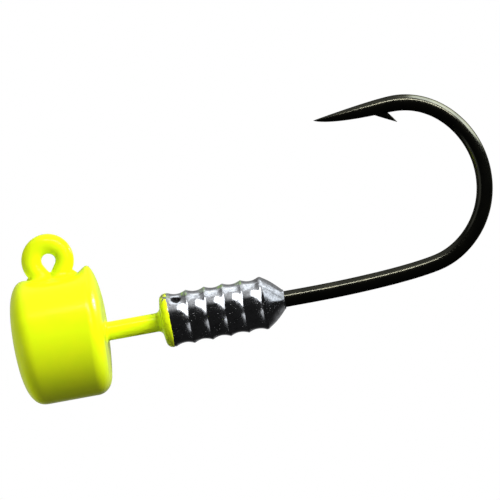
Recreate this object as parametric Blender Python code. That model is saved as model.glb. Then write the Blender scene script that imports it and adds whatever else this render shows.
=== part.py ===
"""A mushroom-style lead jig head on a wide-gap hook.

Frame: the origin is the middle of the small flat on the nose, on the axis of the
hook's shank. +X runs along the shank towards the bend, +Z towards the line eye and
the hook's point, and the whole hook lies in the XZ plane.

Lengths are in millimetres here and become metres when a mesh is made.
"""

import math

import bmesh
import bpy
from mathutils import Vector

METRES = 0.001

# Clearance between two nested solids, and the thickness of the powder paint.
GAP = 0.012
COAT = 0.07

# Hook wire.
WIRE_R = 0.508
WIRE_SIDES = 12

# Head: a drum with a shallow domed nose, its axis a little above the shank's.
HEAD_R = 3.97
HEAD_UP = 0.16
NOSE_DEPTH = 1.56
NOSE_POWER = 2.8
NOSE_FLAT_R = 1.2
HEAD_BACK = 5.86
BACK_LEAN = 0.035
BACK_CORNER_TOP = 0.50
BACK_CORNER_BOTTOM = 0.94
HEAD_SIDES = 36
DOME_STEPS = 6
DRUM_STEPS = 6
CORNER_STEPS = 4

# Shallow saddle in the crown, where the eye comes out.
SADDLE_DEPTH = 0.17
SADDLE_X = 3.0
SADDLE_HALF_LENGTH = 1.9
SADDLE_HALF_ANGLE = math.radians(32)

# Line eye: a ring of wire whose two ends close on the stem.
EYE_X = 3.0
EYE_Z = 5.03
EYE_R = 1.042
LEG_ANGLE = math.radians(35)
STEM_FILLET = 1.5
STEM_FILLET_STEPS = 3
WIRE_END = 0.80
EYE_STEPS = 14

# Where the wire turns from the stem to the shank, inside the head.
HEEL_R = 1.5
HEEL_STEPS = 5

# Hook beyond the straight shank: knots of one smooth curve. Each has its place (x, z),
# its heading in degrees, and how far the curve is drawn straight before and after it.
SHANK_END = ((18.69, 0.0), 0.0, 0.0, 2.49)
SLOW_RISE = ((26.99, 0.57), 12.7, 1.91, 1.90)
BEND_FRONT = ((30.75, 5.58), 90.0, 2.72, 2.75)
BEND_TOP = ((25.85, 10.82), 180.0, 2.78, 1.10)
POINT_TIP = ((20.89, 10.65), 175.0, 1.20, 0.0)
SPAN_STEPS = 8
TAPER_START_X = 24.75
TAPER_POWER = 0.7
TIP_R = 0.03

# Barb: a sliver raised from the wire, as (x, z) of its root and its tip.
BARB_FRONT = (24.90, 10.36)
BARB_NOTCH = (25.52, 10.44)
BARB_TIP = (26.02, 9.66)
BARB_HALF_WIDTH = 0.21
BARB_TIP_HALF_WIDTH = 0.04

# Bait keeper: a lead barrel with sharp rings and a cone behind them.
KEEPER_FRONT = 9.36
KEEPER_CORNER = 0.28
KEEPER_CORNER_STEPS = 2
RING_COUNT = 6
FIRST_RING_X = 9.98
RING_PITCH = 1.15
FIRST_RING_R = 1.64
LAST_RING_R = 1.58
SCALLOP_DEPTH = 0.17
SCALLOP_STEPS = 4
CONE_END_X = 17.05
CONE_END_R = 0.68
KEEPER_SIDES = 24

# Paint round the neck flares where it meets the head and the keeper.
NECK_R = WIRE_R + COAT
NECK_FLARE = 0.24
NECK_FLARE_STEPS = 3

CHARTREUSE = (0.78, 1.0, 0.01)
LEAD = (0.52, 0.54, 0.56)
BLACK_NICKEL = (0.03, 0.03, 0.032)


def clear_scene():
    for old in list(bpy.data.objects):
        bpy.data.objects.remove(old)


def finish_material(name, colour, roughness, metallic):
    material = bpy.data.materials.new(name)
    material.use_nodes = True
    shader = material.node_tree.nodes["Principled BSDF"]
    shader.inputs["Base Color"].default_value = (*colour, 1.0)
    shader.inputs["Roughness"].default_value = roughness
    shader.inputs["Metallic"].default_value = metallic
    return material


def add_object(name, bm, material=None):
    """Turn a millimetre bmesh into an object in metres; no material means a cutter."""
    bmesh.ops.recalc_face_normals(bm, faces=bm.faces)
    bmesh.ops.scale(bm, vec=(METRES, METRES, METRES), verts=bm.verts)
    mesh = bpy.data.meshes.new(name)
    bm.to_mesh(mesh)
    bm.free()
    item = bpy.data.objects.new(name, mesh)
    bpy.context.scene.collection.objects.link(item)
    if material:
        mesh.materials.append(material)
        mesh.shade_smooth()
        mesh.set_sharp_from_angle(angle=math.radians(35))
    else:
        item.hide_render = True
        item.display_type = "WIRE"
    return item


def cut(target, cutter, overlaps_itself=False):
    boolean = target.modifiers.new("less_" + cutter.name, "BOOLEAN")
    boolean.operation = "DIFFERENCE"
    boolean.solver = "EXACT"
    boolean.use_self = overlaps_itself
    boolean.object = cutter


def join_rings(bm, rings):
    """Skin a row of vertex rings and close both ends with a flat face."""
    for ring, following in zip(rings, rings[1:]):
        count = len(ring)
        for i in range(count):
            j = (i + 1) % count
            bm.faces.new((ring[i], ring[j], following[j], following[i]))
    bm.faces.new(list(reversed(rings[0])))
    bm.faces.new(rings[-1])


def arc(centre, radius, start, end, steps):
    """Points (x, z) on an arc, from one angle to another, both ends included."""
    angles = [start + (end - start) * i / steps for i in range(steps + 1)]
    return [(centre[0] + radius * math.cos(a), centre[1] + radius * math.sin(a)) for a in angles]


def quarter_round(steps):
    """Shares of a corner's radius still to go, across and along, at steps of a quarter turn."""
    angles = [math.pi / 2 * i / steps for i in range(steps + 1)]
    return [(1 - math.cos(a), 1 - math.sin(a)) for a in angles]


def pulled(knot, reach):
    """The point that draws the curve straight at a knot, ahead of it or behind it."""
    (x, z), heading = knot[0], math.radians(knot[1])
    return (x + reach * math.cos(heading), z + reach * math.sin(heading))


def span(start, end):
    """Points of the Bezier curve from one knot to the next, the first knot left out."""
    corners = (start[0], pulled(start, start[3]), pulled(end, -end[2]), end[0])
    points = []
    for i in range(1, SPAN_STEPS + 1):
        t = i / SPAN_STEPS
        weights = ((1 - t) ** 3, 3 * t * (1 - t) ** 2, 3 * t * t * (1 - t), t ** 3)
        points.append(tuple(sum(w * c[axis] for w, c in zip(weights, corners)) for axis in (0, 1)))
    return points


def eye_and_shank():
    """Centreline from the wire's cut end, round the eye, down the stem and along the shank."""
    leg = (math.sin(LEG_ANGLE), -math.cos(LEG_ANGLE))
    left_start = (EYE_X - EYE_R * math.cos(LEG_ANGLE), EYE_Z - EYE_R * math.sin(LEG_ANGLE))
    to_meeting = EYE_R * math.cos(LEG_ANGLE) / leg[0]
    left_length = to_meeting - WIRE_END
    cut_end = (left_start[0] + left_length * leg[0], left_start[1] + left_length * leg[1])
    points = [cut_end]
    points += arc((EYE_X, EYE_Z), EYE_R, math.pi + LEG_ANGLE, -LEG_ANGLE, EYE_STEPS)
    meeting_z = left_start[1] + to_meeting * leg[1]
    stem_top = meeting_z - STEM_FILLET * math.tan(LEG_ANGLE / 2)
    fillet_centre = (EYE_X + STEM_FILLET, stem_top)
    points += arc(fillet_centre, STEM_FILLET, math.pi - LEG_ANGLE, math.pi, STEM_FILLET_STEPS)
    points += arc((EYE_X + HEEL_R, HEEL_R), HEEL_R, math.pi, 1.5 * math.pi, HEEL_STEPS)
    return points


def bend_and_point():
    """Centreline of the slow rise, the round bend and the arm that carries the point."""
    points = [SHANK_END[0]]
    knots = (SHANK_END, SLOW_RISE, BEND_FRONT, BEND_TOP, POINT_TIP)
    for start, end in zip(knots, knots[1:]):
        points += span(start, end)
    return points


def wire_radius(x, z):
    """Full wire, except along the needle point."""
    tip_x = POINT_TIP[0][0]
    if z < BEND_FRONT[0][1] or x > TAPER_START_X:
        return WIRE_R
    left = (x - tip_x) / (TAPER_START_X - tip_x)
    return max(TIP_R, WIRE_R * max(left, 0.0) ** TAPER_POWER)


def tube(points, radii):
    """A round bar along points of the XZ plane, with flat ends."""
    bm = bmesh.new()
    rings = []
    for i, (x, z) in enumerate(points):
        before = points[max(i - 1, 0)]
        after = points[min(i + 1, len(points) - 1)]
        along = Vector((after[0] - before[0], 0, after[1] - before[1])).normalized()
        up = Vector((-along.z, 0, along.x))
        side = Vector((0, 1, 0))
        ring = []
        for k in range(WIRE_SIDES):
            angle = 2 * math.pi * k / WIRE_SIDES
            out = math.cos(angle) * up + math.sin(angle) * side
            ring.append(bm.verts.new(Vector((x, 0, z)) + radii[i] * out))
        rings.append(ring)
    join_rings(bm, rings)
    return bm


def longer_at_start(points, extra):
    """The same centreline, begun a little earlier."""
    first, second = points[0], points[1]
    reach = math.dist(first, second)
    start = tuple(a + (a - b) * extra / reach for a, b in zip(first, second))
    return [start] + points[1:]


def turned(profile, sides):
    """A solid of revolution about the shank's axis, from rings (x, r)."""
    bm = bmesh.new()
    rings = []
    for x, r in profile:
        angles = [2 * math.pi * k / sides for k in range(sides)]
        rings.append([bm.verts.new((x, r * math.sin(a), r * math.cos(a))) for a in angles])
    join_rings(bm, rings)
    return bm


def saddle(x, angle):
    """How far the crown is sunk at a place on the drum."""
    along = abs(x - SADDLE_X) / SADDLE_HALF_LENGTH
    around = abs(angle) / SADDLE_HALF_ANGLE
    if along >= 1 or around >= 1:
        return 0.0
    return SADDLE_DEPTH * math.cos(along * math.pi / 2) ** 2 * math.cos(around * math.pi / 2) ** 2


def head_outline(angle):
    """Rings (x, r) of the painted head in one direction, angle 0 being straight up."""
    power = 2 / NOSE_POWER
    first_step = math.asin((NOSE_FLAT_R / HEAD_R) ** (1 / power))
    flat_x = NOSE_DEPTH * (1 - math.cos(first_step) ** power)
    outline = []
    for i in range(DOME_STEPS + 1):
        a = first_step + (math.pi / 2 - first_step) * i / DOME_STEPS
        x = NOSE_DEPTH * (1 - max(math.cos(a), 0.0) ** power) - flat_x
        outline.append((x, HEAD_R * math.sin(a) ** power))
    lean_share = (1 + math.cos(angle)) / 2
    corner = BACK_CORNER_BOTTOM + (BACK_CORNER_TOP - BACK_CORNER_BOTTOM) * lean_share
    drum_end = HEAD_BACK + BACK_LEAN * (HEAD_UP + HEAD_R * math.cos(angle)) - corner
    for i in range(1, DRUM_STEPS + 1):
        x = NOSE_DEPTH + (drum_end - NOSE_DEPTH) * i / DRUM_STEPS
        outline.append((x, HEAD_R - saddle(x, angle)))
    for across, along in quarter_round(CORNER_STEPS)[1:]:
        r = HEAD_R - corner * across
        back_here = HEAD_BACK + BACK_LEAN * (HEAD_UP + r * math.cos(angle))
        outline.append((back_here - corner * along, r))
    return outline


def head(offset):
    """The head's solid, grown by an offset (negative shrinks it)."""
    bm = bmesh.new()
    angles = [2 * math.pi * k / HEAD_SIDES for k in range(HEAD_SIDES)]
    outlines = [head_outline(a if a <= math.pi else a - 2 * math.pi) for a in angles]
    rings = []
    for station in range(len(outlines[0])):
        ring = []
        for angle, outline in zip(angles, outlines):
            x, r = outline[station]
            place = (x, r * math.sin(angle), HEAD_UP + r * math.cos(angle))
            ring.append(bm.verts.new(place))
        rings.append(ring)
    join_rings(bm, rings)
    bmesh.ops.recalc_face_normals(bm, faces=bm.faces)
    bm.normal_update()
    moves = [offset * v.normal for v in bm.verts]
    for vert, move in zip(bm.verts, moves):
        vert.co += move
    return bm


def front_corner(front, outer_r, corner):
    """Rings (x, r) of a rounded front edge."""
    rounding = quarter_round(KEEPER_CORNER_STEPS)
    return [(front + corner * across, outer_r - corner * along) for across, along in rounding]


def keeper_outline():
    """Rings (x, r) of the bare lead keeper."""
    outline = front_corner(KEEPER_FRONT + COAT + GAP, FIRST_RING_R, KEEPER_CORNER)
    for i in range(RING_COUNT):
        ring_x = FIRST_RING_X + RING_PITCH * i
        ring_r = FIRST_RING_R + (LAST_RING_R - FIRST_RING_R) * i / (RING_COUNT - 1)
        outline.append((ring_x, ring_r))
        if i < RING_COUNT - 1:
            for k in range(1, SCALLOP_STEPS):
                t = k / SCALLOP_STEPS
                dip = SCALLOP_DEPTH * (1 - (2 * t - 1) ** 2)
                outline.append((ring_x + RING_PITCH * t, ring_r - dip))
    outline.append((CONE_END_X, CONE_END_R))
    return outline


def keeper_coat_outline():
    """Rings (x, r) of the paint cup over the keeper's front, out and back in again."""
    edge_x = FIRST_RING_X - GAP
    outer_r = FIRST_RING_R + GAP + COAT
    outside = front_corner(KEEPER_FRONT, outer_r, KEEPER_CORNER + COAT) + [(edge_x, outer_r)]
    inside = front_corner(KEEPER_FRONT + COAT, FIRST_RING_R + GAP, KEEPER_CORNER)
    return outside + [(edge_x, FIRST_RING_R + GAP)] + inside[::-1]


def neck_coat_outline():
    """Rings (x, r) of the paint on the neck, flared at both ends."""
    start = HEAD_BACK + BACK_LEAN * (NECK_R + NECK_FLARE) + GAP
    end = KEEPER_FRONT - GAP
    flare = [(NECK_FLARE * across, NECK_R + NECK_FLARE * along)
             for across, along in quarter_round(NECK_FLARE_STEPS)]
    return [(start + x, r) for x, r in flare] + [(end - x, r) for x, r in reversed(flare)]


def barb():
    """The raised sliver as a small wedge whose root is inside the wire."""
    bm = bmesh.new()
    edges = []
    for (x, z), half in (
        (BARB_FRONT, BARB_HALF_WIDTH),
        (BARB_NOTCH, BARB_HALF_WIDTH),
        (BARB_TIP, BARB_TIP_HALF_WIDTH),
    ):
        edges.append((bm.verts.new((x, -half, z)), bm.verts.new((x, half, z))))
    for here, there in zip(edges, edges[1:] + edges[:1]):
        bm.faces.new((here[0], there[0], there[1], here[1]))
    bm.faces.new([edge[0] for edge in reversed(edges)])
    bm.faces.new([edge[1] for edge in edges])
    return bm


def make_hook(finish):
    points = eye_and_shank() + bend_and_point()
    hook = add_object("hook", tube(points, [wire_radius(x, z) for x, z in points]), finish)
    sliver = add_object("barb_sliver", barb())
    union = hook.modifiers.new("with_barb", "BOOLEAN")
    union.operation = "UNION"
    union.solver = "EXACT"
    union.object = sliver


def make_wire_clearance():
    """The room that the wire takes in everything cast or painted round it."""
    points = longer_at_start(eye_and_shank(), GAP) + [SHANK_END[0]]
    return add_object("wire_clearance", tube(points, [WIRE_R + GAP] * len(points)))


def make_head(wire, lead, paint):
    casting = add_object("head_casting", head(-COAT - GAP), lead)
    cut(casting, wire)
    coat = add_object("head_coat", head(0), paint)
    cut(coat, add_object("head_core", head(-COAT)))
    cut(coat, wire)


def make_eye_coat(wire, paint):
    """Paint on the part of the eye that stands out of the crown."""
    eye_and_stem = eye_and_shank()[: EYE_STEPS + STEM_FILLET_STEPS + 2]
    points = longer_at_start(eye_and_stem, WIRE_END)
    coat = add_object("eye_coat", tube(points, [NECK_R] * len(points)), paint)
    cut(coat, add_object("head_clearance", head(GAP)), overlaps_itself=True)
    cut(coat, wire)


def make_neck_and_keeper(wire, lead, paint):
    for name, outline, finish in (
        ("neck_coat", neck_coat_outline(), paint),
        ("keeper_coat", keeper_coat_outline(), paint),
        ("keeper_casting", keeper_outline(), lead),
    ):
        cut(add_object(name, turned(outline, KEEPER_SIDES), finish), wire)


def main():
    clear_scene()
    paint = finish_material("chartreuse_paint", CHARTREUSE, 0.25, 0.0)
    lead = finish_material("cast_lead", LEAD, 0.35, 1.0)
    nickel = finish_material("black_nickel", BLACK_NICKEL, 0.2, 1.0)
    make_hook(nickel)
    wire = make_wire_clearance()
    make_head(wire, lead, paint)
    make_eye_coat(wire, paint)
    make_neck_and_keeper(wire, lead, paint)


main()
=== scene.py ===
# %% [markdown]
# # A painted jig head
# A jig head is a hook with lead cast round its shank. The head gives the weight, and the small
# ringed barrel behind it holds a soft bait. The head, the line eye and the neck are then dipped
# in bright powder paint, which melts into one smooth film. Three finishes meet here: glossy
# paint, bare cast lead and a black-nickel wire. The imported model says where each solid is, and
# this script makes the fine surfaces round it.

import math

import bmesh
import bpy
import numpy as np
from mathutils import Matrix, Vector, noise


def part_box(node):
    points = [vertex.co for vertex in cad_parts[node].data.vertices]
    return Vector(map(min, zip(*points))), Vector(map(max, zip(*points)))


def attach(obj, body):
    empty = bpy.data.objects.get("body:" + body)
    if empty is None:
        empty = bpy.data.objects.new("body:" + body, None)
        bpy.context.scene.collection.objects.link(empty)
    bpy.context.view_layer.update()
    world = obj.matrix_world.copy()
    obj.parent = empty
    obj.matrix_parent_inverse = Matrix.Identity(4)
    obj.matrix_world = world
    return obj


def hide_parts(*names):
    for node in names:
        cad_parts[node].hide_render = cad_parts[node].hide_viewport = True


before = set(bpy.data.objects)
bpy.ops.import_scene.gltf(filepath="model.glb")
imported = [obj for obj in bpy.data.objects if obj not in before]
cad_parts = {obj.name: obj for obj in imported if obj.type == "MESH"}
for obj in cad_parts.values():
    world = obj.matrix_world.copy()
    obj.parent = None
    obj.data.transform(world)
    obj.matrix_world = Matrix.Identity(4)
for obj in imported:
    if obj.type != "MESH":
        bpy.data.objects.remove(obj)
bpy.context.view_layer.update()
MM = 0.001

# %% [markdown]
# ## Sizes taken from the frame
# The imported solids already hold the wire's thickness, the ring of the eye and the head's
# diameter, so they are read from their boxes instead of being typed twice. Everything below is
# worked out in millimetres, because a jig is small and its numbers are easier to follow so.

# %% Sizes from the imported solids
def box_mm(node):
    """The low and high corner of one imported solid."""
    low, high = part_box(node)
    return np.array(low) / MM, np.array(high) / MM


hook_low, _ = box_mm("hook")
head_low, head_high = box_mm("head_coat")
eye_low, eye_high = box_mm("eye_coat")
casting_low, _ = box_mm("head_casting")
keeper_low, keeper_high = box_mm("keeper_casting")
cup_low, cup_high = box_mm("keeper_coat")

WIRE_R = -hook_low[1]
HEAD_R = (head_high[1] - head_low[1]) / 2
HEAD_UP = (head_high[2] + head_low[2]) / 2
FILM = casting_low[0] - head_low[0]
EYE_TUBE_R = eye_high[1]
EYE_X = (eye_low[0] + eye_high[0]) / 2
EYE_R = (eye_high[0] - eye_low[0]) / 2 - EYE_TUBE_R
EYE_Z = eye_high[2] - EYE_R - EYE_TUBE_R
print("wire radius", round(WIRE_R, 3), "head radius", round(HEAD_R, 3), "film", round(FILM, 3))
print("eye at", round(EYE_X, 3), round(EYE_Z, 3), "ring radius", round(EYE_R, 3))

# %% [markdown]
# ## Turning formulas into a skin
# Melted paint has no edges: it creeps up every corner as a small fillet. Bevels cannot follow a
# corner that runs round a ring and over a drum, so the painted skin is described by a distance
# formula instead. The formula gives each point's distance to the surface, and two shapes are
# joined with a rounded minimum, which leaves a fillet of any radius. A rough mesh is then
# pulled on to the surface where the distance is zero.

# %% Helpers for distance formulas
def smooth_step(value, start, end):
    """0 before start, 1 after end, and an easy curve in between."""
    t = np.clip((value - start) / (end - start), 0.0, 1.0)
    return t * t * (3 - 2 * t)


def joined(a, b, fillet):
    """Two distances joined, with a fillet of that radius in the corner between them."""
    reach = np.hypot(np.maximum(fillet - a, 0), np.maximum(fillet - b, 0))
    return np.maximum(fillet, np.minimum(a, b)) - reach


def common(a, b, corner):
    """What two distances have in common, with a rounded corner of that radius."""
    reach = np.hypot(np.maximum(corner + a, 0), np.maximum(corner + b, 0))
    return np.minimum(-corner, np.maximum(a, b)) + reach


def to_line(points, start, end):
    """Distance from points to a straight piece of centreline."""
    start, end = np.array(start), np.array(end)
    along = end - start
    share = np.clip((points - start) @ along / (along @ along), 0, 1)
    return np.linalg.norm(points - start - share[:, None] * along, axis=1)


print("with a 1 mm fillet a square corner is", round(-float(joined(0, 0, 1)), 3), "mm inside")

# %% [markdown]
# ## The head's own shape
# The head is a short drum with a shallow dome on its nose. A superellipse draws the dome: its
# power sets how square the rim is, and a small flat cuts off its tip. The back edge is an even
# round at the bottom and a longer slope at the top. The crown is sunk where the eye comes out,
# with a small horn left standing behind it. A lathe profile could not hold that sunken crown.

# %% Distance to the painted head
TINY = 1e-6
NOSE_DEPTH = 1.56
NOSE_POWER = 2.8
NOSE_FLAT_X = 0.05
NOSE_CUT = 0.02
NOSE_CENTRE_X = NOSE_DEPTH + NOSE_FLAT_X - NOSE_CUT
BACK_X = 5.80
BACK_LEAN_UP = 0.036
BACK_LEAN_DOWN = 0.066
CORNER_TOP = (0.78, 2.30)
CORNER_BOTTOM = (0.90, 0.94)
SCOOP_DEPTH = 0.255
SCOOP_ANGLE = math.radians(44)
SCOOP_FRONT = (0.7, 2.4)
SCOOP_BACK = (4.42, 5.42)
HORN_X = 5.30
HORN_HEIGHT = 0.22
HORN_REACH = 0.75
HORN_ANGLE = math.radians(34)


def fade(angle, limit):
    """1 straight up, falling to 0 at the limit angle."""
    return np.cos(np.clip(angle / limit, 0, 1) * math.pi / 2) ** 2


def sunk(x, angle):
    """How far the crown lies below the round drum."""
    climb = np.clip((x - SCOOP_BACK[0]) / (SCOOP_BACK[1] - SCOOP_BACK[0]), 0, 1)
    along = smooth_step(x, *SCOOP_FRONT) * (1 - climb)
    horn = fade(np.abs(x - HORN_X), HORN_REACH) * fade(angle, HORN_ANGLE)
    return SCOOP_DEPTH * along * fade(angle, SCOOP_ANGLE) - HORN_HEIGHT * horn


def to_head(points):
    """Distance to a superellipse nose in front and a drum with soft corners behind it."""
    x, y, z = points.T
    r = np.hypot(y, z - HEAD_UP)
    up = (z - HEAD_UP) / np.maximum(r, TINY)
    r = r + sunk(x, np.arccos(np.clip(up, -1, 1)))

    ahead = np.maximum(NOSE_CENTRE_X - x, 0) / NOSE_DEPTH
    out = np.maximum(r / HEAD_R, TINY)
    size = (ahead ** NOSE_POWER + out ** NOSE_POWER) ** (1 / NOSE_POWER)
    steep_x = (ahead / size) ** (NOSE_POWER - 1) / NOSE_DEPTH
    steep_r = (out / size) ** (NOSE_POWER - 1) / HEAD_R
    nose = (size - 1) / np.hypot(steep_x, steep_r)

    top = ((1 + up) / 2) ** 2
    corner_x = CORNER_BOTTOM[0] + (CORNER_TOP[0] - CORNER_BOTTOM[0]) * top
    corner_r = CORNER_BOTTOM[1] + (CORNER_TOP[1] - CORNER_BOTTOM[1]) * top
    back = BACK_X + np.where(z > 0, BACK_LEAN_UP, BACK_LEAN_DOWN) * z
    sideways = (r - HEAD_R + corner_r) / corner_r
    backward = (x - back + corner_x) / corner_x
    past_side, past_back = np.maximum(sideways, 0), np.maximum(backward, 0)
    reach = np.maximum(np.hypot(past_side, past_back), TINY)
    steep = np.maximum(np.hypot(past_side / corner_r, past_back / corner_x) / reach, TINY)
    drum = np.where(reach > 10 * TINY, (reach - 1) / steep, np.maximum(sideways, backward) - 1)
    body = np.where(x < NOSE_CENTRE_X, nose, drum)
    return np.maximum(body, NOSE_FLAT_X - x)


behind_head = np.array([[BACK_X + 1, 0.0, HEAD_UP]])
print("a point 1 mm behind the back is", round(float(to_head(behind_head)[0]), 2), "mm from the head")

# %% [markdown]
# ## The eye, the neck and the cup
# The eye is the end of the hook's own wire, bent into a ring whose two legs run together into
# the head. The ring is an arc and two straight legs, and the paint is a tube round them. The
# neck is the same wire between head and keeper, and the cup is the paint on the keeper's front.

# %% Distance to the painted eye
FAR = 1e3
LEG_DEGREES = 35
LEG_ANGLE = math.radians(LEG_DEGREES)
LEG_CREASE = 0.03
TOP_EXTRA = 0.05
NOSE_SIDE_EXTRA = 0.05
meeting_z = EYE_Z - EYE_R / math.sin(LEG_ANGLE)
LEGS_MEET = (EYE_X, 0.0, meeting_z)


def ring_end(side):
    """Where the ring turns into a leg; side is -1 for the nose side and 1 for the back."""
    return (EYE_X + side * EYE_R * math.cos(LEG_ANGLE), 0.0, EYE_Z - EYE_R * math.sin(LEG_ANGLE))


def to_eye(points):
    """Distance to the ring and its legs, with a thicker film on the ring's top and nose side."""
    x, y, z = points.T
    across, above = x - EYE_X, z - EYE_Z
    around = np.hypot(across, above)
    between_legs = above < -math.tan(LEG_ANGLE) * np.abs(across)
    ring = np.where(between_legs, FAR, np.hypot(around - EYE_R, y))
    swell = TOP_EXTRA * np.clip(above / np.maximum(around, TINY), 0, 1) ** 2
    swell = swell + NOSE_SIDE_EXTRA * np.clip(-across / np.maximum(around, TINY), 0, 1) ** 2
    sides = []
    for side in (-1, 1):
        leg = to_line(points, ring_end(side), LEGS_MEET)
        half_ring = np.where(across * side >= 0, ring, FAR)
        sides.append(np.minimum(leg, half_ring) - EYE_TUBE_R - swell)
    return joined(sides[0], sides[1], LEG_CREASE)


print("the eye's legs meet at z", round(meeting_z, 3), "mm, inside the head")

# %% Distance to the neck and the cup, and to the whole skin
NECK_R = WIRE_R + FILM
NECK_START_X = 4.0
CUP_SETBACK = 0.08
CUP_FRONT = cup_low[0] + CUP_SETBACK
CUP_EDGE = 9.89
CUP_CORNER = 0.34
CUP_INSET = 0.02
CUP_R = cup_high[1] - CUP_INSET
CUP_LEAN = 0.16
EDGE_CORNER = 0.05
EDGE_WAVE = 0.03
EDGE_BEND = (3, 1.1)
EDGE_RIPPLES = ((0.8, 8, 5, 2), (0.6, 19, 7, 0))
EYE_FILLET = (0.10, 0.40)
NECK_FILLET = 0.22
CUP_FILLET = 0.26


def to_neck(points):
    """Distance to the painted wire between the head and the keeper."""
    x, y, z = points.T
    return np.maximum(np.hypot(y, z) - NECK_R, np.maximum(NECK_START_X - x, x - CUP_EDGE))


def to_cup(points):
    """Distance to the cup; its back edge wanders, as the edge of a dipped film does."""
    x, y, z = points.T
    angle = np.arctan2(y, z)
    wave = np.sin(EDGE_BEND[0] * angle + EDGE_BEND[1])
    for share, quick, slow, shift in EDGE_RIPPLES:
        wave = wave + share * np.sin(quick * angle) * np.sin(slow * angle + shift)
    r = np.hypot(y, z)
    front = common(r - CUP_R, CUP_FRONT - x - CUP_LEAN * (CUP_R - r), CUP_CORNER)
    return common(front, x - CUP_EDGE - EDGE_WAVE * wave, EDGE_CORNER)


def to_skin(points):
    """Distance to the whole painted surface, with every joint filleted."""
    sideways = np.clip(np.abs(points[:, 1]) / EYE_TUBE_R, 0, 1)
    eye_fillet = EYE_FILLET[0] + (EYE_FILLET[1] - EYE_FILLET[0]) * sideways
    head_and_eye = joined(to_head(points), to_eye(points), eye_fillet)
    neck_and_cup = joined(to_neck(points), to_cup(points), CUP_FILLET)
    return joined(head_and_eye, neck_and_cup, NECK_FILLET)


print("neck radius", round(NECK_R, 3), "cup radius", round(CUP_R, 3), "mm")

# %% [markdown]
# ## Mesh tools
# Turned and swept pieces are grids of points: rows go along the piece and columns go round it.
# A grid gives even quads, which keep a mirror finish clean. The skin has no such grid, so it
# starts as overlapping rough solids, which a voxel remesh fuses into one closed mesh.

# %% Grids, sweeps and turnings
def new_piece(name, verts, faces):
    """A mesh object in metres, from points in millimetres."""
    mesh = bpy.data.meshes.new(name)
    mesh.from_pydata((np.asarray(verts) * MM).tolist(), [], faces)
    mesh.validate()
    mesh.shade_smooth()
    piece = bpy.data.objects.new(name, mesh)
    bpy.context.scene.collection.objects.link(piece)
    return piece


def grid_faces(rows, columns, first=0):
    """Quads of a tube of point rings, with one flat face over each end."""
    faces = []
    for row in range(rows - 1):
        for column in range(columns):
            here = first + row * columns + column
            beside = first + row * columns + (column + 1) % columns
            faces.append((here, beside, beside + columns, here + columns))
    faces.append(tuple(first + column for column in reversed(range(columns))))
    faces.append(tuple(first + (rows - 1) * columns + column for column in range(columns)))
    return faces


def turned_points(profile, columns, centre_z=0.0):
    """Rings of points about the X axis, from a profile of (x, radius)."""
    angles = np.linspace(0, 2 * math.pi, columns, endpoint=False)
    rings = []
    for x, r in profile:
        rings.append(np.column_stack([np.full(columns, x), r * np.sin(angles),
                                      centre_z + r * np.cos(angles)]))
    return np.vstack(rings)


def swept_points(path, radii, columns):
    """Rings of points round a centreline in the XZ plane."""
    path = np.asarray(path)
    along = np.gradient(path, axis=0)
    along /= np.linalg.norm(along, axis=1)[:, None]
    up = np.column_stack([-along[:, 1], along[:, 0]])
    angles = np.linspace(0, 2 * math.pi, columns, endpoint=False)
    rings = []
    for (x, z), (up_x, up_z), r in zip(path, up, radii):
        rings.append(np.column_stack([x + r * np.cos(angles) * up_x,
                                      -r * np.sin(angles),
                                      z + r * np.cos(angles) * up_z]))
    return np.vstack(rings)


def arc(centre, radius, start, end, steps):
    """Points of an arc in the XZ plane, between two angles in degrees."""
    angles = np.radians(np.linspace(start, end, steps + 1))
    return [(centre[0] + radius * math.cos(a), centre[1] + radius * math.sin(a)) for a in angles]


print("a tube of 3 rings with 4 points each has", len(grid_faces(3, 4)), "faces")

# %% Pull a rough mesh on to a formula's surface
PULLS = 8
LONGEST_PULL = 0.3
LEAST_STEEPNESS = 0.05
PROBE = 0.004


def slope(distance, points):
    """The formula's gradient, from its value a little to each side."""
    sides = [distance(points + step) - distance(points - step) for step in np.eye(3) * PROBE]
    return np.column_stack(sides) / (2 * PROBE)


def pull_on(points, distance):
    """The points moved on to the surface, and how far off it each one still is."""
    for _ in range(PULLS):
        away = distance(points)
        lean = slope(distance, points)
        steep = np.maximum((lean ** 2).sum(axis=1), LEAST_STEEPNESS)
        points = points - np.clip(away / steep, -LONGEST_PULL, LONGEST_PULL)[:, None] * lean
    return points, np.abs(distance(points))


def apply_modifiers(piece):
    """Works the piece's modifiers into a new mesh, which it then wears."""
    evaluated = piece.evaluated_get(bpy.context.evaluated_depsgraph_get())
    mesh = bpy.data.meshes.new_from_object(evaluated)
    old = piece.data
    piece.modifiers.clear()
    piece.data = mesh
    bpy.data.meshes.remove(old)
    return mesh


def fused(name, shells, voxel, distance):
    """One closed piece: rough shells remeshed together, then pulled on to the formula.

    The remesh and the formula both work in millimetres, and only the pulled points are metres.
    """
    verts, faces = [], []
    for points, rows, columns in shells:
        faces += grid_faces(rows, columns, first=sum(len(v) for v in verts))
        verts.append(points)
    rough = new_piece(name, np.vstack(verts) / MM, faces)
    remesh = rough.modifiers.new("fuse", "REMESH")
    remesh.mode = "VOXEL"
    remesh.voxel_size = voxel
    mesh = apply_modifiers(rough)
    places = np.empty(len(mesh.vertices) * 3)
    mesh.vertices.foreach_get("co", places)
    points, left = pull_on(places.reshape(-1, 3), distance)
    mesh.vertices.foreach_set("co", (points * MM).astype(np.float32).ravel())
    mesh.shade_smooth()
    mesh.update()
    print(name, len(mesh.vertices), "points, at most", round(float(left.max()), 4), "mm off")
    return rough


# %% [markdown]
# ## The paint skin
# The rough solids only have to be near the final surface: a turned head, a ring with its legs,
# a bar for the neck and a disc for the cup. They are remeshed at a size below the fillets round
# the eye, the neck and the cup, so that the pulled mesh keeps those soft corners of the paint.

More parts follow.
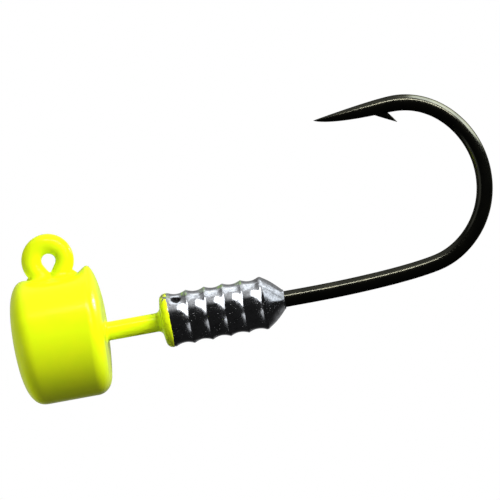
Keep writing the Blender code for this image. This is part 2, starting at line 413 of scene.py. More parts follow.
# %% Make the paint skin
SKIN_VOXEL = 0.062
NOSE_TIP = (0.02, 0.9)
NOSE_ANGLES = (0.12, math.pi / 2, 12)
DRUM_STATIONS = (2.5, 3.5, 4.5, 5.2)
BACK_STATIONS = ((5.7, 0.4), (5.9, 1.2))
EYE_STATIONS = 40
LEG_SHARES = (-0.05, 1, 12)
LEG_OVERRUN = 0.4
NECK_OVERLAP = 0.5
SHELL_STEP = 0.1


def head_shell(columns=64):
    """Rough solid of the head: the nose's superellipse, the drum and a blunt back."""
    profile = [NOSE_TIP]
    for a in np.linspace(*NOSE_ANGLES):
        x = NOSE_CENTRE_X - NOSE_DEPTH * math.cos(a) ** (2 / NOSE_POWER)
        if x > NOSE_TIP[0]:
            profile.append((x, HEAD_R * math.sin(a) ** (2 / NOSE_POWER)))
    profile += [(x, HEAD_R) for x in DRUM_STATIONS]
    profile += [(x, HEAD_R - inset) for x, inset in BACK_STATIONS]
    return turned_points(profile, columns, HEAD_UP), len(profile), columns


def eye_shells(columns=32):
    """Rough solids of the ring and of its two legs, which cross inside the head."""
    ring = arc((EYE_X, EYE_Z), EYE_R, 180 + LEG_DEGREES, -LEG_DEGREES, EYE_STATIONS)
    paths = [ring]
    for side in (-1, 1):
        x, _, z = ring_end(side)
        down_x, down_z = EYE_X - side * LEG_OVERRUN, meeting_z - LEG_OVERRUN
        paths.append([(x + (down_x - x) * t, z + (down_z - z) * t) for t in np.linspace(*LEG_SHARES)])
    return [(swept_points(path, [EYE_TUBE_R] * len(path), columns), len(path), columns)
            for path in paths]


def neck_shells(columns=48):
    """Rough solids of the neck and of the cup on the keeper's front."""
    neck = [(NECK_START_X + NECK_OVERLAP, NECK_R), (CUP_EDGE - SHELL_STEP, NECK_R)]
    cup = [(CUP_FRONT, CUP_R - CUP_CORNER), (CUP_FRONT + SHELL_STEP, CUP_R - SHELL_STEP),
           (CUP_FRONT + CUP_CORNER, CUP_R), (CUP_EDGE, CUP_R)]
    return [(turned_points(profile, columns), len(profile), columns) for profile in (neck, cup)]


paint_skin = fused("paint_skin", [head_shell()] + eye_shells() + neck_shells(), SKIN_VOXEL, to_skin)

# %% [markdown]
# ## The lead under the paint
# The head's lead is a separate casting that the paint hides. It is the same formula, taken a
# film's thickness further in, so that the paint covers it evenly everywhere.

# %% Make the head's casting
CASTING_VOXEL = 0.12
head_lead = fused("head_lead", [head_shell()], CASTING_VOXEL, lambda p: to_head(p) + FILM)

# %% [markdown]
# ## The hook
# The hook is one length of round wire, so it is one sweep: round the eye, down through the
# head, along the shank and round the bend. Smooth curves between a few knots draw the bend. Each
# knot holds a place, a heading in degrees, and how far the curve is drawn straight before it and
# after it. A needle point is ground, not bent, so only the radius changes there.

# %% The wire's centreline
STEM_FILLET = 1.5
HEEL_R = 1.5
WIRE_END = 0.80
SHANK_END = ((18.69, 0.0), 0.0, 0.0, 2.49)
SLOW_RISE = ((26.99, 0.57), 12.7, 1.91, 1.90)
BEND_FRONT = ((30.75, 5.58), 90.0, 2.72, 2.75)
BEND_TOP = ((25.85, 10.82), 181.2, 2.78, 1.10)
POINT_TIP = ((20.89, 10.65), 173.5, 1.20, 0.0)
SPAN_STEPS = 36
LEG_STEPS = 8
RING_STEPS = 48
STEM_STEPS = 8
HEEL_STEPS = 12
SHANK_START_X = 6.0
SHANK_STATIONS = 30


def pulled(knot, reach):
    """The point that draws the curve straight at a knot, ahead of it or behind it."""
    heading = math.radians(knot[1])
    return np.array([knot[0][0] + reach * math.cos(heading), knot[0][1] + reach * math.sin(heading)])


def span(start, end):
    """Points of the smooth curve from one knot to the next, the first knot left out."""
    a, b, c, d = np.array(start[0]), pulled(start, start[3]), pulled(end, -end[2]), np.array(end[0])
    return [tuple((1 - t) ** 3 * a + 3 * t * (1 - t) ** 2 * b + 3 * t * t * (1 - t) * c + t ** 3 * d)
            for t in np.linspace(0, 1, SPAN_STEPS + 1)[1:]]


def eye_and_heel():
    """The wire from its end in the head, round the eye, down the stem and round the heel."""
    x, _, z = ring_end(-1)
    leg_x, leg_z = math.sin(LEG_ANGLE), -math.cos(LEG_ANGLE)
    length = EYE_R * math.cos(LEG_ANGLE) / leg_x - WIRE_END
    lengths = length * np.linspace(1, 0, LEG_STEPS)[:-1]
    points = [(x + leg_x * far, z + leg_z * far) for far in lengths]
    points += arc((EYE_X, EYE_Z), EYE_R, 180 + LEG_DEGREES, -LEG_DEGREES, RING_STEPS)
    stem_top = meeting_z - STEM_FILLET * math.tan(LEG_ANGLE / 2)
    stem_centre = (EYE_X + STEM_FILLET, stem_top)
    points += arc(stem_centre, STEM_FILLET, 180 - LEG_DEGREES, 180, STEM_STEPS)
    points += arc((EYE_X + HEEL_R, HEEL_R), HEEL_R, 180, 270, HEEL_STEPS)
    return points


knots = (SHANK_END, SLOW_RISE, BEND_FRONT, BEND_TOP, POINT_TIP)
bend_path = [SHANK_END[0]]
for start, end in zip(knots, knots[1:]):
    bend_path += span(start, end)
shank = [(x, 0.0) for x in np.linspace(SHANK_START_X, SHANK_END[0][0], SHANK_STATIONS)[:-1]]
wire_path = eye_and_heel() + shank + bend_path
wire_length = sum(math.dist(a, b) for a, b in zip(wire_path, wire_path[1:]))
print("wire", len(wire_path), "stations,", round(wire_length, 1), "mm long")

# %% The wire itself
WIRE_COLUMNS = 40
TAPER_START_X = 26.6
TAPER_POWER = 0.745
TIP_R = 0.012


def wire_radius(x, z):
    """Full wire, except along the needle point."""
    tip_x = POINT_TIP[0][0]
    if z < BEND_FRONT[0][1] or x > TAPER_START_X:
        return WIRE_R
    left = min((TAPER_START_X - x) / (TAPER_START_X - tip_x), 1.0)
    return max(TIP_R, WIRE_R * (1 - left ** 2) ** TAPER_POWER)


wire_radii = [wire_radius(x, z) for x, z in wire_path]
hook_wire = new_piece("hook_wire", swept_points(wire_path, wire_radii, WIRE_COLUMNS),
                      grid_faces(len(wire_path), WIRE_COLUMNS))
print("hook_wire", len(hook_wire.data.vertices), "points before its barb")

# %% [markdown]
# ## The barb
# A barb is a sliver that a chisel raises from the finished wire, so it grows out of the wire's
# underside and leaves a sharp notch behind it. Here it is a small blade, lofted from a broad
# root inside the wire to a fine tip, and joined to the wire with a Boolean.

# %% Raise the barb
BARB_UPPER = ((25.10, 10.72), (25.45, 10.44), (26.03, 9.655))
BARB_LOWER = ((24.48, 10.43), (25.08, 10.10), (26.02, 9.635))
BARB_HALF_WIDTHS = (0.30, 0.02)
BARB_STATIONS = 14
BARB_COLUMNS = 16
WIRE_SHARP = math.radians(38)


def through(points, t):
    """A curve through three points, the middle one at its half way."""
    a, b, c = (np.array(p) for p in points)
    return a * (1 - t) * (1 - 2 * t) + b * 4 * t * (1 - t) + c * t * (2 * t - 1)


def barb_points():
    """Rings of points along the blade, between its upper and its lower edge."""
    rings = []
    angles = np.linspace(0, 2 * math.pi, BARB_COLUMNS, endpoint=False)
    for t in np.linspace(0, 1, BARB_STATIONS):
        upper, lower = through(BARB_UPPER, t), through(BARB_LOWER, t)
        middle, half = (upper + lower) / 2, (upper - lower) / 2
        width = BARB_HALF_WIDTHS[0] + (BARB_HALF_WIDTHS[1] - BARB_HALF_WIDTHS[0]) * t
        rings.append(np.column_stack([middle[0] + half[0] * np.cos(angles), width * np.sin(angles),
                                      middle[1] + half[1] * np.cos(angles)]))
    return np.vstack(rings)


blade = new_piece("barb_blade", barb_points(), grid_faces(BARB_STATIONS, BARB_COLUMNS))


def turn_outward(piece):
    """Every face made to look outward, which a Boolean needs."""
    workbench = bmesh.new()
    workbench.from_mesh(piece.data)
    bmesh.ops.recalc_face_normals(workbench, faces=workbench.faces)
    workbench.to_mesh(piece.data)
    workbench.free()


for piece in (hook_wire, blade):
    turn_outward(piece)
union = hook_wire.modifiers.new("barb", "BOOLEAN")
union.operation = "UNION"
union.solver = "EXACT"
union.object = blade
apply_modifiers(hook_wire)
bpy.data.objects.remove(blade)
hook_wire.data.shade_smooth()
hook_wire.data.set_sharp_from_angle(angle=WIRE_SHARP)
print("hook_wire", len(hook_wire.data.vertices), "points with its barb")

# %% [markdown]
# ## The bait keeper
# The keeper is cast lead: rings that grip a bait, and a cone that lets it slide on. Its profile
# is turned about the shank, which gives six sharp crests with a shallow scallop between them.
# Cast lead is never smooth, so each point then moves in or out a little by layered noise, and a
# nick is pressed into the first groove.

# %% Turn the keeper
RING_COUNT = 6
FIRST_RING_X = 9.98
RING_PITCH = 1.15
FIRST_RING_R = 1.69
LAST_RING_R = 1.66
SCALLOP_DEPTH = 0.15
SCALLOP_STEPS = 14
FRONT_X = keeper_low[0]
FRONT_RADII = (0.4, 0.9)
FRONT_INSET = 0.02
FRONT_CORNER = 0.26
FRONT_CORNER_STEPS = 7
CONE_START_X = 15.84
CONE_START_INSET = 0.015
CONE_INSET = 0.02
CONE_END_X = keeper_high[0]
CONE_END_R = 0.66
CONE_STEPS = 18
CONE_SWELL = 0.08
CONE_TIP = ((0.07, CONE_END_R - 0.06), (0.09, WIRE_R - 0.05))
KEEPER_COLUMNS = 150
# Grain size, height and seed of each layer of lumps.
LUMPS = ((0.9, 0.016, 3.0), (0.34, 0.003, 7.0), (0.13, 0.001, 11.0))


def keeper_profile():
    """The keeper's outline as (x, radius): a round front, rings with scallops, and a cone."""
    profile = [(FRONT_X, r) for r in FRONT_RADII]
    for a in np.linspace(0, math.pi / 2, FRONT_CORNER_STEPS):
        inset = FRONT_INSET + FRONT_CORNER * (1 - math.sin(a))
        profile.append((FRONT_X + FRONT_CORNER * (1 - math.cos(a)), FIRST_RING_R - inset))
    for i in range(RING_COUNT):
        ring_x = FIRST_RING_X + RING_PITCH * i
        ring_r = FIRST_RING_R + (LAST_RING_R - FIRST_RING_R) * i / (RING_COUNT - 1)
        profile.append((ring_x, ring_r))
        if i < RING_COUNT - 1:
            for t in np.linspace(0, 1, SCALLOP_STEPS + 1)[1:-1]:
                bowl = 1 - (2 * t - 1) ** 2
                profile.append((ring_x + RING_PITCH * t, ring_r - SCALLOP_DEPTH * bowl))
    profile.append((CONE_START_X, LAST_RING_R - CONE_START_INSET))
    for t in np.linspace(0, 1, CONE_STEPS + 1)[1:]:
        x = CONE_START_X + (CONE_END_X - CONE_START_X) * t
        r = LAST_RING_R - CONE_INSET + (CONE_END_R - LAST_RING_R) * t
        profile.append((x, r + CONE_SWELL * math.sin(math.pi * t)))
    profile += [(CONE_END_X + past, r) for past, r in CONE_TIP]
    return profile


def roughened(points, size, height, seed):
    """Points moved along their own radius by noise of one grain size."""
    moved = points.copy()
    for i, (x, y, z) in enumerate(points):
        r = math.hypot(y, z)
        lump = noise.noise(Vector((x, y, z)) / size + Vector((seed, 0, 0)))
        moved[i, 1:] *= (r + height * lump) / max(r, TINY)
    return moved


keeper_rings = keeper_profile()
keeper_points = turned_points(keeper_rings, KEEPER_COLUMNS)
for size, height, seed in LUMPS:
    keeper_points = roughened(keeper_points, size, height, seed)
print("keeper", len(keeper_points), "points, reaching x", round(keeper_points[:, 0].max(), 2), "mm")

# %% Press the nick and finish the mesh
NICK_AT = np.array([10.45, -0.93, 1.22])
NICK_SIZE = np.array([0.26, 0.30, 0.22])
NICK_DEPTH = 0.16
LEAD_SHARP = math.radians(50)

nearness = np.exp(-(((keeper_points - NICK_AT) / NICK_SIZE) ** 2).sum(axis=1))
inward = -keeper_points * np.array([0, 1, 1])
inward /= np.maximum(np.linalg.norm(inward, axis=1), TINY)[:, None]
keeper_points = keeper_points + NICK_DEPTH * nearness[:, None] * inward
keeper_lead = new_piece("keeper_lead", keeper_points, grid_faces(len(keeper_rings), KEEPER_COLUMNS))
turn_outward(keeper_lead)
keeper_lead.data.set_sharp_from_angle(angle=LEAD_SHARP)
print("deepest move at the nick", round(float(NICK_DEPTH * nearness.max()), 3), "mm")

# %% [markdown]
# ## Say what stands for what
# Each piece rides on the model's one body and takes over from the plain solids it covers.

# %% Ride and replace
for piece, nodes, slot in (
    (paint_skin, ("head_coat", "eye_coat", "neck_coat", "keeper_coat"), "chartreuse_paint"),
    (head_lead, ("head_casting",), "cast_lead"),
    (keeper_lead, ("keeper_casting",), "cast_lead"),
    (hook_wire, ("hook",), "black_nickel"),
):
    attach(piece, "root")
    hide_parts(*nodes)
    print(piece.name, "stands for", ", ".join(nodes))

# %% [markdown]
# ## A small language for materials
# A node tree is easier to read as a sum. The first class below wraps a socket, so that adding,
# subtracting or multiplying values adds the Math node for it. The second holds one tree and has
# one method that makes any other node. Its helpers take sizes in millimetres and hand metres to
# the sockets.

# %% Sockets as values
class Value:
    """A socket that can be used in Python arithmetic."""

    def __init__(self, sheet, socket):
        self.sheet = sheet
        self.socket = socket

    def maths(self, operation, *terms):
        """A Math node on these terms."""
        return self.sheet.node("ShaderNodeMath", {"operation": operation}, dict(enumerate(terms)))

    def __add__(self, other):
        return self.maths("ADD", self, other)

    def __radd__(self, other):
        return self.maths("ADD", other, self)

    def __sub__(self, other):
        return self.maths("SUBTRACT", self, other)

    def __rsub__(self, other):
        return self.maths("SUBTRACT", other, self)

    def __mul__(self, other):
        return self.maths("MULTIPLY", self, other)

    def __rmul__(self, other):
        return self.maths("MULTIPLY", other, self)


class Sheet:
    """One node tree, and the ways to add to it."""

    def __init__(self, tree):
        self.tree = tree

    def node(self, kind, settings=None, inputs=None, output=0):
        """Any node: its settings first, then the values or links of its sockets."""
        made = self.tree.nodes.new(kind)
        for name, setting in (settings or {}).items():
            setattr(made, name, setting)
        for name, value in (inputs or {}).items():
            self.connect(made.inputs[name], value)
        return Value(self, made.outputs[output])

    def connect(self, socket, value):
        """Links a value to the socket, or sets the socket to a plain number or colour."""
        if isinstance(value, Value):
            self.tree.links.new(value.socket, socket)
        elif isinstance(value, tuple) and len(value) == 3 and socket.type == "RGBA":
            socket.default_value = (*value, 1.0)
        else:
            socket.default_value = value

    def grain(self, where, size_mm, detail=2.0):
        """Noise from 0 to 1 with spots of about that size."""
        inputs = {"Vector": where, "Scale": 1 / (size_mm * MM), "Detail": detail}
        return self.node("ShaderNodeTexNoise", None, inputs)

    def between(self, value, start, end):
        """0 at start and 1 at end, eased."""
        settings = {"interpolation_type": "SMOOTHSTEP"}
        return self.node("ShaderNodeMapRange", settings, {0: value, 1: start, 2: end})

    def between_mm(self, length, start, end):
        """The same for a length, with both ends in millimetres."""
        return self.between(length, start * MM, end * MM)

    def mixed(self, share, first, second):
        """The first colour where share is 0, and the second where it is 1."""
        settings = {"data_type": "RGBA"}
        return self.node("ShaderNodeMix", settings, {0: share, 6: first, 7: second}, output=2)

    def relief(self, height, strength, depth_mm):
        """A normal that follows relief too fine to be in the mesh."""
        inputs = {"Strength": strength, "Distance": depth_mm * MM, "Height": height}
        return self.node("ShaderNodeBump", None, inputs)

    def place(self, where):
        """The point's x, y and z as three values, in metres."""
        split = self.node("ShaderNodeSeparateXYZ", None, {0: where})
        return [Value(self, output) for output in split.socket.node.outputs]


def finish(name):
    """A new material, its sheet, its shader's sockets and the point that is shaded."""
    material = bpy.data.materials.new(name)
    material.use_nodes = True
    sheet = Sheet(material.node_tree)
    shader = material.node_tree.nodes["Principled BSDF"]
    where = sheet.node("ShaderNodeTexCoord", None, None, output=3)
    return material, sheet, shader.inputs, where


def coat(piece, material):
    """The material as the only one on the piece."""
    piece.data.materials.clear()
    piece.data.materials.append(material)


print("sockets can now be added, subtracted and multiplied")

# %% [markdown]
# ## Chartreuse powder paint
# Baked powder paint is glossy and slightly wavy, which painters call orange peel. The colour is
# a fluorescent yellow-green that hardly varies, a little deeper in clouds. A faint even glow is
# painted light: it stands for the fluorescence and lifts the shaded sides, so that they stay
# clean and not grey. At the top of the keeper's front the film is chipped, and the lead shows. A
# texture could hold all this, but noise in the piece's own space needs no unwrapping and has no
# seams.

# %% Paint material
PAINT = (0.80, 0.97, 0.003)
PAINT_DEEP = (0.76, 0.95, 0.002)
BARE = (0.30, 0.31, 0.31)
PAINTED_GLOW = (0.060, 0.070, 0.005)
PAINT_GLOSS = 0.16
PAINT_ROUGH = (0.17, 0.06)
CLOUD_SIZE = 1.4
CLOUD_LEVELS = (0.35, 0.7)
FLAKE_SIZE = 0.22
FLAKE_DETAIL = 3.0
CHIP_LEVELS = (0.47, 0.52)
CHIPPED_X = (9.46, 9.62)
CHIPPED_Z = (1.05, 1.35)
PEEL_SIZE = 0.42
FLAKES_IN_PEEL = 0.5
PEEL_STRENGTH = 0.35
PEEL_DEPTH = 0.006


def paint_material():
    material, sheet, shader, where = finish("chartreuse_paint")
    x, _, z = sheet.place(where)
    cloud = sheet.grain(where, CLOUD_SIZE)
    colour = sheet.mixed(sheet.between(cloud, *CLOUD_LEVELS), PAINT, PAINT_DEEP)
    flakes = sheet.grain(where, FLAKE_SIZE, FLAKE_DETAIL)
    near_edge = sheet.between_mm(x, *CHIPPED_X) * sheet.between_mm(z, *CHIPPED_Z)
    chipped = near_edge * sheet.between(flakes, *CHIP_LEVELS)
    sheet.connect(shader["Base Color"], sheet.mixed(chipped, colour, BARE))
    sheet.connect(shader["Metallic"], chipped)
    sheet.connect(shader["Roughness"], PAINT_ROUGH[0] + PAINT_ROUGH[1] * cloud)
    shader["Specular IOR Level"].default_value = PAINT_GLOSS
    # The glow is painted light that lifts the paint's shaded sides.
    shader["Emission Color"].default_value = (*PAINTED_GLOW, 1.0)
    shader["Emission Strength"].default_value = 1.0
    peel = sheet.grain(where, PEEL_SIZE) + FLAKES_IN_PEEL * flakes
    sheet.connect(shader["Normal"], sheet.relief(peel, PEEL_STRENGTH, PEEL_DEPTH))
    return material


coat(paint_skin, paint_material())
print("painted", paint_skin.name)

# %% [markdown]
# ## Bare cast lead
# Fresh lead is bright and bluish, and it dulls in patches to dark grey; the rings are also made
# darker towards their tops. Fine dross leaves pits, and the bright white specks are painted glints.
# Powder from the dipping sits as green dust on the rings' tops, and the inside of the nick in the
# first groove is painted dark, as painted shade. Each of these is a mask from 0 to 1, made from
# noise, from the place along the keeper, or from both multiplied.

# %% Lead material
LEAD_BRIGHT = (0.70, 0.73, 0.78)
LEAD_DULL = (0.13, 0.13, 0.135)
GLINT_WHITE = (0.95, 0.96, 0.97)
NICK_PAINTED_SHADE = (0.012, 0.012, 0.012)
DUST = (0.16, 0.30, 0.03)
DUST_BEFORE_RING = 0.16
RING_BAND = (0.10, 0.30)
LEAD_ROUGH = (0.12, 0.25)
PATCH_SIZE = 0.38
PATCH_DETAIL = 4.0
PATCH_LEVELS = (0.42, 0.64)
FINE_SIZE = 0.10
FINE_DETAIL = 3.0
MOTTLE_LEVELS = (0.42, 0.66)
DARKER_TOP_Z = (0.9, 1.3)
DULL_SHARES = (0.40, 0.30, 0.45)
SPECK_SIZE = 0.065
SPECK_DETAIL = 1.0
SWARM_SIZE = 1.3
SWARM_SHARE = 0.25
SPECK_LEVELS = (0.88, 0.92)
DUST_LEVELS = (0.40, 0.50)
DUST_SHARES = (0.35, 0.65)
DUSTY_Z = (1.30, 1.50)
DUSTY_X = (15.3, 15.0)
NICK_EDGE = (0.42, 0.50)
NICK_RAGGED = 0.3
GRIT_SHARES = (0.6, 0.5)
GRIT_STRENGTH = 0.25
GRIT_DEPTH = 0.004


def near_rings(sheet, x):
    """1 along the crest of each ring, and 0 in the grooves between them."""
    from_crest = sheet.node("ShaderNodeMath", {"operation": "PINGPONG"},
                            {0: x - (FIRST_RING_X - DUST_BEFORE_RING) * MM, 1: RING_PITCH / 2 * MM})
    return 1 - sheet.between_mm(from_crest, *RING_BAND)


def inside_nick(sheet, where, fine):
    """1 in the nick, with a ragged edge."""
    away = sheet.node("ShaderNodeVectorMath", {"operation": "DISTANCE"},
                      {0: where, 1: tuple(NICK_AT * MM)}, output=1)
    return 1 - sheet.between_mm(away + fine * (NICK_RAGGED * MM), *NICK_EDGE)


def lead_material():
    material, sheet, shader, where = finish("cast_lead")
    x, _, z = sheet.place(where)
    on_ring = near_rings(sheet, x)
    patches = sheet.between(sheet.grain(where, PATCH_SIZE, PATCH_DETAIL), *PATCH_LEVELS)
    fine = sheet.grain(where, FINE_SIZE, FINE_DETAIL)
    mottle = sheet.between(fine, *MOTTLE_LEVELS)
    in_patches, in_mottle, on_tops = DULL_SHARES
    dull = patches * in_patches + mottle * in_mottle
    # The rings are made darker towards their tops.
    dull = dull + on_ring * sheet.between_mm(z, *DARKER_TOP_Z) * on_tops
    colour = sheet.mixed(dull, LEAD_BRIGHT, LEAD_DULL)

    # Bright specks are painted glints: white, and not metal.
    spots = sheet.grain(where, SPECK_SIZE, SPECK_DETAIL)
    swarms = sheet.grain(where, SWARM_SIZE)
    glint_specks = sheet.between(spots + SWARM_SHARE * swarms, *SPECK_LEVELS)
    colour = sheet.mixed(glint_specks, colour, GLINT_WHITE)
    dust = on_ring * sheet.between_mm(z, *DUSTY_Z) * sheet.between(fine, *DUST_LEVELS)
    dust = dust * sheet.between_mm(x, *DUSTY_X) * (DUST_SHARES[0] + DUST_SHARES[1] * patches)
    colour = sheet.mixed(dust, colour, DUST)
    # The inside of the nick is painted dark: painted shade.
    colour = sheet.mixed(inside_nick(sheet, where, fine), colour, NICK_PAINTED_SHADE)

    # Green dust and the painted glints are not metal.
    dust_and_glints = sheet.node("ShaderNodeMath", {"operation": "MAXIMUM"}, {0: dust, 1: glint_specks})
    grit = fine + GRIT_SHARES[0] * patches + GRIT_SHARES[1] * glint_specks
    sheet.connect(shader["Base Color"], colour)
    sheet.connect(shader["Metallic"], 1 - dust_and_glints)
    sheet.connect(shader["Roughness"], LEAD_ROUGH[0] + LEAD_ROUGH[1] * dull)
    sheet.connect(shader["Normal"], sheet.relief(grit, GRIT_STRENGTH, GRIT_DEPTH))
    return material


cast_lead = lead_material()
for piece in (keeper_lead, head_lead):
    coat(piece, cast_lead)
print("lead on", keeper_lead.name, "and", head_lead.name)

# %% [markdown]
# ## Black nickel
# The hook is plated and then blackened, so it mirrors its surroundings, but only faintly: a
# metal with a very dark colour. A metal turns white at grazing angles, which would draw a pale
# rim round the wire, so the shader's specular tint keeps that edge dark. Slow clouds and shallow
# pores break up the long reflections a little.

# %% Nickel material
NICKEL = (0.048, 0.049, 0.040)
NICKEL_THIN = (0.062, 0.062, 0.048)
EDGE_TINT = (0.35, 0.35, 0.33)
NICKEL_METAL = 0.98
NICKEL_ROUGH = (0.16, 0.06)
TARNISH_SIZE = 1.1
TARNISH_DETAIL = 3.0
TARNISH_LEVELS = (0.4, 0.7)
PORE_SIZE = 0.35
PORE_STRENGTH = 0.10
PORE_DEPTH = 0.004


def nickel_material():
    material, sheet, shader, where = finish("black_nickel")
    tarnish = sheet.grain(where, TARNISH_SIZE, TARNISH_DETAIL)
    colour = sheet.mixed(sheet.between(tarnish, *TARNISH_LEVELS), NICKEL, NICKEL_THIN)
    pores = sheet.grain(where, PORE_SIZE)
    sheet.connect(shader["Base Color"], colour)
    sheet.connect(shader["Roughness"], NICKEL_ROUGH[0] + NICKEL_ROUGH[1] * tarnish)
    sheet.connect(shader["Normal"], sheet.relief(pores, PORE_STRENGTH, PORE_DEPTH))
    shader["Metallic"].default_value = NICKEL_METAL
    shader["Specular Tint"].default_value = (*EDGE_TINT, 1.0)
    return material


coat(hook_wire, nickel_material())
print("plated", hook_wire.name)

# %% [markdown]
# ## Camera
# The jig is seen square from the side through a long lens, which keeps its outline flat and
# true. The camera is rolled a little, so that the shank climbs to the right.

# %% Camera
ROLL = math.radians(10.33)
VIEW_CENTRE = Vector((15.54, 0.0, 3.41)) * MM
VIEW_WIDTH = 31.25 * MM
LENS = 200.0
CLIP_START = 0.01

picture_right = Vector((math.cos(ROLL), 0, -math.sin(ROLL)))
picture_up = Vector((math.sin(ROLL), 0, math.cos(ROLL)))
to_viewer = Vector((0, -1, 0))

camera = bpy.data.objects.new("camera", bpy.data.cameras.new("camera"))
bpy.context.scene.collection.objects.link(camera)
camera.data.lens = LENS
distance = VIEW_WIDTH * LENS / camera.data.sensor_width
picture = Matrix((picture_right, picture_up, to_viewer)).transposed()
camera.matrix_world = Matrix.Translation(VIEW_CENTRE + to_viewer * distance) @ picture.to_4x4()
camera.data.clip_start = CLIP_START
bpy.context.scene.camera = camera
print("camera", round(distance / MM), "mm away")

# %% [markdown]
# ## Light
# Small shiny goods are lit in a tent of white cloth. Here it is bright above and behind, and
# nearly black below and on the camera's side, so that lead and wire stay dark where they mirror
# those sides. The tent could be a mesh of white cards, but a world whose strength depends on the
# direction needs no mesh and is the same wherever a piece stands.

# %% The tent
TENT_FLOOR = 0.012
ROOF_LIGHT = 0.62
ROOF_HEIGHT = (0.60, 0.92)
WALL_LIGHT = 0.26
WALL_BEHIND = (0.10, 0.60)
WALL_HEIGHT = (-0.65, -0.25)
TENT_COLOUR = (1.0, 0.99, 0.97)

scene = bpy.context.scene
scene.view_settings.view_transform = "Standard"
world = bpy.data.worlds.new("tent")
world.use_nodes = True
scene.world = world
tent = Sheet(world.node_tree)
tent_light = world.node_tree.nodes["Background"].inputs
direction = tent.node("ShaderNodeTexCoord", None, None, output=0)


def towards(axis):
    """How far each direction points along an axis, from -1 to 1."""
    inputs = {0: direction, 1: tuple(axis)}
    return tent.node("ShaderNodeVectorMath", {"operation": "DOT_PRODUCT"}, inputs, output=1)


height = towards(picture_up)
behind = towards(-to_viewer)
roof = tent.between(height, *ROOF_HEIGHT)
wall = tent.between(behind, *WALL_BEHIND) * tent.between(height, *WALL_HEIGHT)
tent.connect(tent_light["Strength"], TENT_FLOOR + ROOF_LIGHT * roof + WALL_LIGHT * wall)
tent_light["Color"].default_value = (*TENT_COLOUR, 1.0)
print("tent set up with", len(world.node_tree.nodes), "nodes")

# %% [markdown]
# ## Lamps and cards
# A mirror shows its lamps, so each bright shape on the metal comes from a lamp of its own. A
# long tube in front draws the thin line along the wire and glosses the paint. A soft box above on
# the right lights the outside of the bend, and a dim card on the left lifts the inside. A
# slanting card on the left fills the keeper's grooves with white wedges, and three more light its
# top, its lower edges and its cone. A short strip behind puts the glint on the head's rim. Each
# of these reaches only the pieces it is meant for, which a maker would manage with black cards.

# %% Lamps
WARM = (1.0, 0.97, 0.90)
COOL = (0.93, 0.97, 1.0)
WHITE = (1.0, 1.0, 1.0)


def lamp(name, place, size, radiance, colour, along=(1, 0, 0)):
    """A flat lamp that faces the jig: place and along are (right, up, near) in the picture."""
    light = bpy.data.lights.new(name, "AREA")
    light.shape = "RECTANGLE"
    light.size = size[0] * MM
    light.size_y = size[1] * MM
    light.energy = radiance * math.pi * light.size * light.size_y
    light.color = colour
    box = bpy.data.objects.new(name, light)
    scene.collection.objects.link(box)
    out = (picture @ Vector(place)).normalized()
    across = picture @ Vector(along)
    across = (across - out * across.dot(out)).normalized()
    turn = Matrix((across, out.cross(across), out)).transposed()
    box.matrix_world = Matrix.Translation(VIEW_CENTRE + picture @ Vector(place) * MM) @ turn.to_4x4()
    box.visible_camera = False
    return box


def lights_only(box, *pieces):
    """Lets a lamp reach only these pieces."""
    reached = bpy.data.collections.new(box.name + "_reaches")
    for piece in pieces:
        reached.objects.link(piece)
    box.light_linking.receiver_collection = reached


front_tube = lamp("front_tube", (29, 125, 111), (142, 13), 34.0, WARM)
right_box = lamp("right_box", (98, 140, -30), (160, 200), 12.0, COOL)
wire_card = lamp("wire_card", (-170, 0, 50), (120, 260), 0.42, WHITE)
left_card = lamp("left_card", (-115, 97, 103), (268, 122), 3.0, WHITE, (0.76, 0.645, -0.10))
sky_card = lamp("sky_card", (10, 170, -45), (240, 120), 0.80, COOL)
low_card = lamp("low_card", (-112, -128, 25), (84, 190), 0.9, WHITE)
cone_card = lamp("cone_card", (150, 90, -10), (150, 150), 1.15, COOL)
rim_card = lamp("rim_card", (120, 69, -80), (50, 8), 110.0, WHITE, (-0.32, -0.51, -0.80))

for only_gloss in (front_tube, right_box, rim_card):
    only_gloss.visible_diffuse = False
lights_only(front_tube, hook_wire, paint_skin)
lights_only(right_box, hook_wire)
lights_only(wire_card, hook_wire)
lights_only(rim_card, paint_skin)
for card in (left_card, sky_card, low_card, cone_card):
    lights_only(card, keeper_lead)

# %% [markdown]
# ## Fills
# Three big soft lamps light the paint evenly, as the walls of the tent would. They don't show in
# anything glossy. Each is given the light it brings to the jig, so its strength grows with the
# square of its distance.

# %% Fills
FILL_SIZE = 160
FILLS = (
    ("front_fill", (135, 143, 155), 1.72),
    ("left_fill", (-230, -66, -26), 0.50),
    ("low_right_fill", (220, -100, -24), 0.06),
)

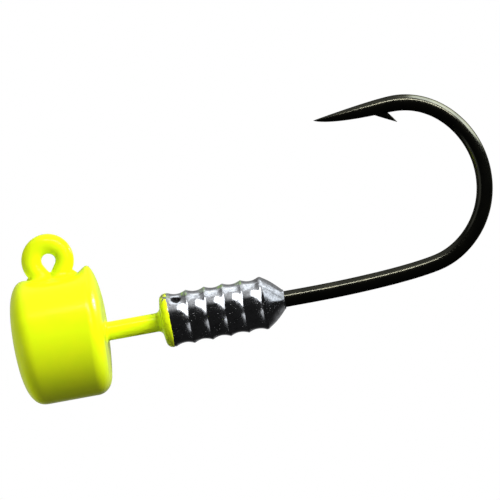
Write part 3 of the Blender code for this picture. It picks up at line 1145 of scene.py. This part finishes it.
for name, place, light_on_jig in FILLS:
    spread = math.pi * (Vector(place).length / FILL_SIZE) ** 2
    fill = lamp(name, place, (FILL_SIZE, FILL_SIZE), light_on_jig * spread, WHITE)
    fill.visible_glossy = False
print("fills:", [name for name, _, _ in FILLS])

# %% [markdown]
# ## Floor and backdrop
# The floor is a pale disc some way below the jig. A white shell far outside closes the view, so
# every direction ends in the same plain white. Neither one lights the jig: the tent and the
# lamps do that.

# %% Floor and backdrop
FLOOR_DROP = 52.0
FLOOR_R = 235.0
SHELL_R = 900.0
STAGE_COLUMNS = 96
SHELL_ROWS = 49
POLE_GAP = 0.02
STAGE_ROUGHNESS = 0.9
FLOOR_COLOUR = (0.9, 0.9, 0.9)
FLOOR_GLOW = 0.25
BACKDROP_COLOUR = (0.0, 0.0, 0.0)
BACKDROP_GLOW = 1.0


def stage_material(name, colour, glow):
    """A matt finish that gives off its own even white."""
    material, _, shader, _ = finish(name)
    shader["Base Color"].default_value = (*colour, 1.0)
    shader["Roughness"].default_value = STAGE_ROUGHNESS
    shader["Specular IOR Level"].default_value = 0.0
    shader["Emission Color"].default_value = (*WHITE, 1.0)
    shader["Emission Strength"].default_value = glow
    return material


def seen_only_by_camera(piece):
    """Takes the piece out of the light, the reflections and the shadows."""
    piece.visible_diffuse = False
    piece.visible_glossy = False
    piece.visible_shadow = False


angles = np.linspace(0, 2 * math.pi, STAGE_COLUMNS, endpoint=False)
rim = np.column_stack([VIEW_CENTRE.x / MM + np.cos(angles) * FLOOR_R,
                       np.sin(angles) * FLOOR_R,
                       np.full(STAGE_COLUMNS, -FLOOR_DROP)])
floor = new_piece("floor", rim, [tuple(range(STAGE_COLUMNS))])
coat(floor, stage_material("pale_floor", FLOOR_COLOUR, FLOOR_GLOW))

meridian = []
for a in np.linspace(POLE_GAP, math.pi - POLE_GAP, SHELL_ROWS):
    meridian.append((-SHELL_R * math.cos(a), SHELL_R * math.sin(a)))
shell = new_piece("backdrop", turned_points(meridian, STAGE_COLUMNS),
                  grid_faces(len(meridian), STAGE_COLUMNS))
coat(shell, stage_material("white_backdrop", BACKDROP_COLOUR, BACKDROP_GLOW))
for piece in (floor, shell):
    seen_only_by_camera(piece)
print("stage set:", floor.name, shell.name)
